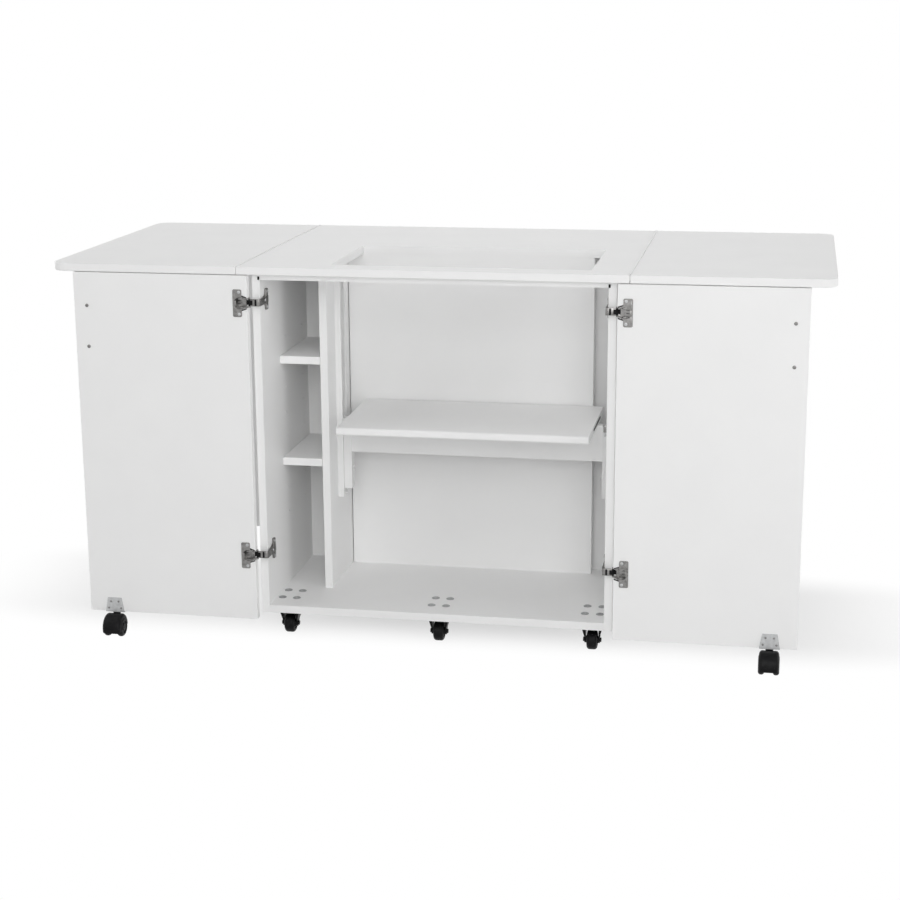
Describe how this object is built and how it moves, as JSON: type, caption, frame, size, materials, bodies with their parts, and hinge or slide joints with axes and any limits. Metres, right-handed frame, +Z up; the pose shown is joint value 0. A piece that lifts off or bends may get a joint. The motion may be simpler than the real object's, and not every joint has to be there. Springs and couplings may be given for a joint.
{
  "type": "sewing cabinet",
  "caption": "White sewing cabinet on casters: folding worktop leaves carried by swing-out doors, a machine opening over a sliding lift platform, and a narrow shelf bay.",
  "frame": {"origin": "on the floor under the middle of the worktop", "axes": "+X along the worktop to the right, +Y to the rear, +Z up"},
  "size_m": [1.524, 0.726, 0.7698],
  "materials": {
    "white_board": "satin white melamine on board",
    "nickel_steel": "nickel plated",
    "satin_nickel": "brushed satin nickel",
    "zinc_steel": "zinc plated sheet",
    "white_metal": "white powder coat",
    "black_metal": "black paint",
    "black_plastic": "moulded black nylon"
  },
  "bodies": {
    "cabinet": {"left_side_panel": "white_board", "right_side_panel": "white_board", "bottom_panel": "white_board", "partition_panel": "white_board", "divider_panel": "white_board", "lift_back_board": "white_board", "top_rails": "white_board", "center_top": "white_board", "upper_shelf": "white_board", "lower_shelf": "white_board", "shelf_pins": "nickel_steel", "caster_plates": "black_metal", "caster_bolts": "nickel_steel", "hinge_arms": "nickel_steel", "lift_guides": "white_metal", "center_leaf_hinges": "white_metal"},
    "lift": {"lift_platform": "white_board", "lift_apron": "white_board", "lift_posts": "white_metal"},
    "latch": {"latch_lever": "zinc_steel"},
    "left_leaf_unit": {"left_leaf": "white_board", "left_leaf_hinge": "white_metal"},
    "front_left_door_unit": {"front_left_door": "white_board", "front_left_hinge_cups": "nickel_steel", "front_left_handle": "satin_nickel", "front_left_door_caster_bracket": "zinc_steel"},
    "front_left_door_swivel": {"front_left_door_caster_hood": "black_plastic"},
    "front_left_door_wheels": {"front_left_door_caster_wheels": "black_plastic"},
    "rear_left_door_unit": {"rear_left_door": "white_board", "rear_left_hinge_cups": "nickel_steel", "rear_left_handle": "satin_nickel", "rear_left_door_caster_bracket": "zinc_steel"},
    "rear_left_door_swivel": {"rear_left_door_caster_hood": "black_plastic"},
    "rear_left_door_wheels": {"rear_left_door_caster_wheels": "black_plastic"},
    "right_leaf_unit": {"right_leaf": "white_board", "right_leaf_hinge": "white_metal"},
    "front_right_door_unit": {"front_right_door": "white_board", "front_right_hinge_cups": "nickel_steel", "front_right_handle": "satin_nickel", "front_right_door_caster_bracket": "zinc_steel"},
    "front_right_door_swivel": {"front_right_door_caster_hood": "black_plastic"},
    "front_right_door_wheels": {"front_right_door_caster_wheels": "black_plastic"},
    "rear_right_door_unit": {"rear_right_door": "white_board", "rear_right_hinge_cups": "nickel_steel", "rear_right_handle": "satin_nickel", "rear_right_door_caster_bracket": "zinc_steel"},
    "rear_right_door_swivel": {"rear_right_door_caster_hood": "black_plastic"},
    "rear_right_door_wheels": {"rear_right_door_caster_wheels": "black_plastic"},
    "front_left_caster_swivel_unit": {"front_left_caster_fork": "black_metal"},
    "front_left_caster_wheel_unit": {"front_left_caster_wheel": "black_plastic"},
    "front_middle_caster_swivel_unit": {"front_middle_caster_fork": "black_metal"},
    "front_middle_caster_wheel_unit": {"front_middle_caster_wheel": "black_plastic"},
    "front_right_caster_swivel_unit": {"front_right_caster_fork": "black_metal"},
    "front_right_caster_wheel_unit": {"front_right_caster_wheel": "black_plastic"},
    "rear_left_caster_swivel_unit": {"rear_left_caster_fork": "black_metal"},
    "rear_left_caster_wheel_unit": {"rear_left_caster_wheel": "black_plastic"},
    "rear_middle_caster_swivel_unit": {"rear_middle_caster_fork": "black_metal"},
    "rear_middle_caster_wheel_unit": {"rear_middle_caster_wheel": "black_plastic"},
    "rear_right_caster_swivel_unit": {"rear_right_caster_fork": "black_metal"},
    "rear_right_caster_wheel_unit": {"rear_right_caster_wheel": "black_plastic"}
  },
  "joints": [
    {"name": "lift_rise", "type": "slide", "parent": "cabinet", "child": "lift", "axis": [0, 0, 1], "range_m": [0, 0.3255]},
    {"name": "latch_swing", "type": "hinge", "parent": "lift", "child": "latch", "pos_m": [0.32, -0.1093, 0.4], "axis": [0, 1, 0], "range_deg": [-35, 0], "stiffness_Nm_per_rad": 0.02, "springref_deg": 17.19},
    {"name": "left_leaf_fold", "type": "hinge", "parent": "cabinet", "child": "left_leaf_unit", "pos_m": [-0.3815, 0, 0.7684], "axis": [0, 1, 0], "range_deg": [0, 180]},
    {"name": "front_left_door_swing", "type": "hinge", "parent": "cabinet", "child": "front_left_door_unit", "pos_m": [-0.358, -0.32025, 0.4], "axis": [0, 0, 1], "range_deg": [0, 180]},
    {"name": "front_left_door_caster_swivel", "type": "hinge", "parent": "front_left_door_unit", "child": "front_left_door_swivel", "pos_m": [-0.6625, -0.322, 0.045], "axis": [0, 0, 1], "continuous": true},
    {"name": "front_left_door_caster_roll", "type": "hinge", "parent": "front_left_door_swivel", "child": "front_left_door_wheels", "pos_m": [-0.6625, -0.336, 0.02], "axis": [1, 0, 0], "continuous": true},
    {"name": "rear_left_door_swing", "type": "hinge", "parent": "cabinet", "child": "rear_left_door_unit", "pos_m": [-0.358, 0.32025, 0.4], "axis": [0, 0, -1], "range_deg": [0, 180]},
    {"name": "rear_left_door_caster_swivel", "type": "hinge", "parent": "rear_left_door_unit", "child": "rear_left_door_swivel", "pos_m": [-0.6625, 0.322, 0.045], "axis": [0, 0, 1], "continuous": true},
    {"name": "rear_left_door_caster_roll", "type": "hinge", "parent": "rear_left_door_swivel", "child": "rear_left_door_wheels", "pos_m": [-0.6625, 0.336, 0.02], "axis": [1, 0, 0], "continuous": true},
    {"name": "right_leaf_fold", "type": "hinge", "parent": "cabinet", "child": "right_leaf_unit", "pos_m": [0.3815, 0, 0.7684], "axis": [0, -1, 0], "range_deg": [0, 180]},
    {"name": "front_right_door_swing", "type": "hinge", "parent": "cabinet", "child": "front_right_door_unit", "pos_m": [0.358, -0.32025, 0.4], "axis": [0, 0, -1], "range_deg": [0, 180]},
    {"name": "front_right_door_caster_swivel", "type": "hinge", "parent": "front_right_door_unit", "child": "front_right_door_swivel", "pos_m": [0.6625, -0.322, 0.045], "axis": [0, 0, 1], "continuous": true},
    {"name": "front_right_door_caster_roll", "type": "hinge", "parent": "front_right_door_swivel", "child": "front_right_door_wheels", "pos_m": [0.6625, -0.336, 0.02], "axis": [1, 0, 0], "continuous": true},
    {"name": "rear_right_door_swing", "type": "hinge", "parent": "cabinet", "child": "rear_right_door_unit", "pos_m": [0.358, 0.32025, 0.4], "axis": [0, 0, 1], "range_deg": [0, 180]},
    {"name": "rear_right_door_caster_swivel", "type": "hinge", "parent": "rear_right_door_unit", "child": "rear_right_door_swivel", "pos_m": [0.6625, 0.322, 0.045], "axis": [0, 0, 1], "continuous": true},
    {"name": "rear_right_door_caster_roll", "type": "hinge", "parent": "rear_right_door_swivel", "child": "rear_right_door_wheels", "pos_m": [0.6625, 0.336, 0.02], "axis": [1, 0, 0], "continuous": true},
    {"name": "front_left_caster_swivel", "type": "hinge", "parent": "cabinet", "child": "front_left_caster_swivel_unit", "pos_m": [-0.312, -0.233, 0.053], "axis": [0, 0, 1], "continuous": true},
    {"name": "front_left_caster_roll", "type": "hinge", "parent": "front_left_caster_swivel_unit", "child": "front_left_caster_wheel_unit", "pos_m": [-0.312, -0.251, 0.02], "axis": [1, 0, 0], "continuous": true},
    {"name": "front_middle_caster_swivel", "type": "hinge", "parent": "cabinet", "child": "front_middle_caster_swivel_unit", "pos_m": [0, -0.233, 0.053], "axis": [0, 0, 1], "continuous": true},
    {"name": "front_middle_caster_roll", "type": "hinge", "parent": "front_middle_caster_swivel_unit", "child": "front_middle_caster_wheel_unit", "pos_m": [0, -0.251, 0.02], "axis": [1, 0, 0], "continuous": true},
    {"name": "front_right_caster_swivel", "type": "hinge", "parent": "cabinet", "child": "front_right_caster_swivel_unit", "pos_m": [0.312, -0.233, 0.053], "axis": [0, 0, 1], "continuous": true},
    {"name": "front_right_caster_roll", "type": "hinge", "parent": "front_right_caster_swivel_unit", "child": "front_right_caster_wheel_unit", "pos_m": [0.312, -0.251, 0.02], "axis": [1, 0, 0], "continuous": true},
    {"name": "rear_left_caster_swivel", "type": "hinge", "parent": "cabinet", "child": "rear_left_caster_swivel_unit", "pos_m": [-0.312, 0.233, 0.053], "axis": [0, 0, 1], "continuous": true},
    {"name": "rear_left_caster_roll", "type": "hinge", "parent": "rear_left_caster_swivel_unit", "child": "rear_left_caster_wheel_unit", "pos_m": [-0.312, 0.251, 0.02], "axis": [1, 0, 0], "continuous": true},
    {"name": "rear_middle_caster_swivel", "type": "hinge", "parent": "cabinet", "child": "rear_middle_caster_swivel_unit", "pos_m": [0, 0.233, 0.053], "axis": [0, 0, 1], "continuous": true},
    {"name": "rear_middle_caster_roll", "type": "hinge", "parent": "rear_middle_caster_swivel_unit", "child": "rear_middle_caster_wheel_unit", "pos_m": [0, 0.251, 0.02], "axis": [1, 0, 0], "continuous": true},
    {"name": "rear_right_caster_swivel", "type": "hinge", "parent": "cabinet", "child": "rear_right_caster_swivel_unit", "pos_m": [0.312, 0.233, 0.053], "axis": [0, 0, 1], "continuous": true},
    {"name": "rear_right_caster_roll", "type": "hinge", "parent": "rear_right_caster_swivel_unit", "child": "rear_right_caster_wheel_unit", "pos_m": [0.312, 0.251, 0.02], "axis": [1, 0, 0], "continuous": true}
  ]
}
